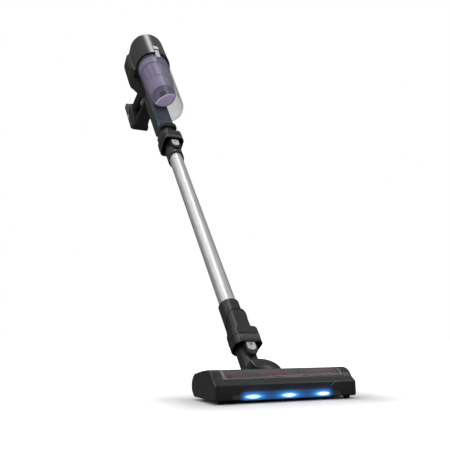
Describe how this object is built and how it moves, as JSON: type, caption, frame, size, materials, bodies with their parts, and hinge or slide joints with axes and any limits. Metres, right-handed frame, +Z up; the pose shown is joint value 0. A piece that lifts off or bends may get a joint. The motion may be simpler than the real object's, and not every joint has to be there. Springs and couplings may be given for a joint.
{
  "type": "cordless stick vacuum",
  "caption": "Upright cordless stick vacuum: floor head with lamps and brush, metal wand, clear cyclone container, loop handle and battery.",
  "frame": {"origin": "on the floor under the middle of the felt strip of the floor head, on the symmetry plane", "axes": "+Z up, -Y towards the lamps at the front, +X along the brush axis; the stick leans back towards +Y"},
  "size_m": [0.25, 0.9674, 0.985],
  "materials": {
    "charcoal": "satin",
    "black_gloss": "gloss",
    "dark_grey": "satin",
    "soft_black": "matte",
    "bright_tube": "satin",
    "silver": "satin",
    "clear": "gloss",
    "smoke": "gloss",
    "violet": "gloss",
    "violet_clear": "gloss",
    "steel": "satin",
    "motor_can": "satin",
    "copper_gold": "satin",
    "filter_white": "matte",
    "felt_red": "matte",
    "bristle_red": "matte",
    "bristle_dark": "matte",
    "board_green": "satin",
    "lamp_clear": "gloss"
  },
  "bodies": {
    "hand_unit": {"nozzle": "charcoal", "air_spine": "charcoal", "dome_cover": "black_gloss", "rear_housing": "charcoal", "suction_motor": "motor_can", "motor_mount": "soft_black", "exhaust_filter": "filter_white", "fan_shroud": "dark_grey", "control_board": "board_green", "handle_frame": "charcoal", "grip_pad": "soft_black"},
    "fan": {"suction_fan": "dark_grey"},
    "container": {"dust_cup": "clear", "cyclone_cap": "violet", "cyclone_shroud": "violet", "cyclone_skirt": "violet", "mesh_screen": "steel", "vortex_finder": "violet", "pre_filter": "filter_white", "filter_frame": "violet", "container_seal": "soft_black", "latch_tab": "silver"},
    "container_release": {"container_button": "silver"},
    "power_trigger": {"trigger": "silver"},
    "battery": {"battery_pack": "charcoal", "charging_socket": "soft_black"},
    "battery_release": {"battery_latch": "silver"},
    "wand": {"wand_tube": "bright_tube", "wand_hood": "charcoal", "wand_lower_collar": "charcoal", "wand_upper_collar": "charcoal", "wand_conduit": "dark_grey", "wand_contacts": "copper_gold"},
    "wand_release": {"wand_button": "silver"},
    "neck": {"neck_tube": "charcoal", "neck_contacts": "copper_gold"},
    "neck_release": {"neck_button": "silver"},
    "swivel_joint": {"tilt_barrel": "dark_grey", "joint_hose": "soft_black"},
    "floor_head": {"head_base": "charcoal", "head_cover": "dark_grey", "brush_window": "smoke", "sole_felt": "felt_red", "end_cap_left": "dark_grey", "end_cap_right": "dark_grey", "led_board": "board_green", "led_lens": "lamp_clear", "sole_screws": "steel", "wheel_axles": "steel", "brush_motor": "motor_can", "brush_bearings": "steel", "drive_belt": "soft_black"},
    "brush": {"brush_core": "dark_grey", "bristles_red": "bristle_red", "bristles_dark": "bristle_dark"},
    "pulley": {"motor_pulley": "steel"},
    "wheel_fl": {"front_wheel_left": "soft_black"},
    "wheel_fr": {"front_wheel_right": "soft_black"},
    "wheel_rl": {"rear_wheel_left": "soft_black"},
    "wheel_rr": {"rear_wheel_right": "soft_black"}
  },
  "joints": [
    {"name": "fan_spin", "type": "hinge", "parent": "hand_unit", "child": "fan", "pos_m": [0, 0.70806, 0.88036], "axis": [0, 0.6455, 0.7638], "continuous": true},
    {"name": "container_hinge", "type": "hinge", "parent": "hand_unit", "child": "container", "pos_m": [0, 0.57103, 0.65314], "axis": [1, 0, 0], "range_deg": [0, 25]},
    {"name": "container_button_press", "type": "slide", "parent": "hand_unit", "child": "container_release", "axis": [0, 0.7638, -0.6455], "range_m": [0, 0.002], "stiffness_N_per_m": 300, "springref_m": -0.001},
    {"name": "trigger_pull", "type": "slide", "parent": "hand_unit", "child": "power_trigger", "axis": [0, 0.3247, 0.9458], "range_m": [0, 0.003], "stiffness_N_per_m": 400, "springref_m": -0.001},
    {"name": "battery_slide", "type": "slide", "parent": "hand_unit", "child": "battery", "axis": [0, 0.7638, -0.6455], "range_m": [0, 0.03]},
    {"name": "battery_latch_press", "type": "slide", "parent": "battery", "child": "battery_release", "axis": [1, 0, 0], "range_m": [0, 0.0022], "stiffness_N_per_m": 300, "springref_m": -0.001},
    {"name": "wand_slide", "type": "slide", "parent": "hand_unit", "child": "wand", "axis": [0, -0.6455, -0.7638], "range_m": [0, 0.05]},
    {"name": "wand_button_press", "type": "slide", "parent": "wand", "child": "wand_release", "axis": [0, 0.7638, -0.6455], "range_m": [0, 0.0022], "stiffness_N_per_m": 300, "springref_m": -0.001},
    {"name": "neck_slide", "type": "slide", "parent": "wand", "child": "neck", "axis": [0, -0.6455, -0.7638], "range_m": [0, 0.07]},
    {"name": "neck_button_press", "type": "slide", "parent": "neck", "child": "neck_release", "axis": [0, 0.7638, -0.6455], "range_m": [0, 0.0022], "stiffness_N_per_m": 300, "springref_m": -0.001},
    {"name": "neck_swivel", "type": "hinge", "parent": "neck", "child": "swivel_joint", "pos_m": [0, 0.05831, 0.03247], "axis": [0, 0.7638, -0.6455], "range_deg": [-35, 35]},
    {"name": "head_tilt", "type": "hinge", "parent": "swivel_joint", "child": "floor_head", "pos_m": [0, 0.042, 0.0335], "axis": [1, 0, 0], "range_deg": [-38, 30]},
    {"name": "brush_spin", "type": "hinge", "parent": "floor_head", "child": "brush", "pos_m": [0, -0.032, 0.024], "axis": [1, 0, 0], "continuous": true},
    {"name": "pulley_spin", "type": "hinge", "parent": "floor_head", "child": "pulley", "pos_m": [0.1, 0.002, 0.031], "axis": [1, 0, 0], "continuous": true},
    {"name": "wheel_fl_roll", "type": "hinge", "parent": "floor_head", "child": "wheel_fl", "pos_m": [-0.112, -0.054, 0.0065], "axis": [1, 0, 0], "continuous": true},
    {"name": "wheel_fr_roll", "type": "hinge", "parent": "floor_head", "child": "wheel_fr", "pos_m": [0.112, -0.054, 0.0065], "axis": [1, 0, 0], "continuous": true},
    {"name": "wheel_rl_roll", "type": "hinge", "parent": "floor_head", "child": "wheel_rl", "pos_m": [-0.076, 0.016, 0.012], "axis": [1, 0, 0], "continuous": true},
    {"name": "wheel_rr_roll", "type": "hinge", "parent": "floor_head", "child": "wheel_rr", "pos_m": [0.076, 0.016, 0.012], "axis": [1, 0, 0], "continuous": true}
  ],
  "couplings": [
    {"joint": "pulley_spin", "follows": "brush_spin", "ratio": 2.5}
  ]
}
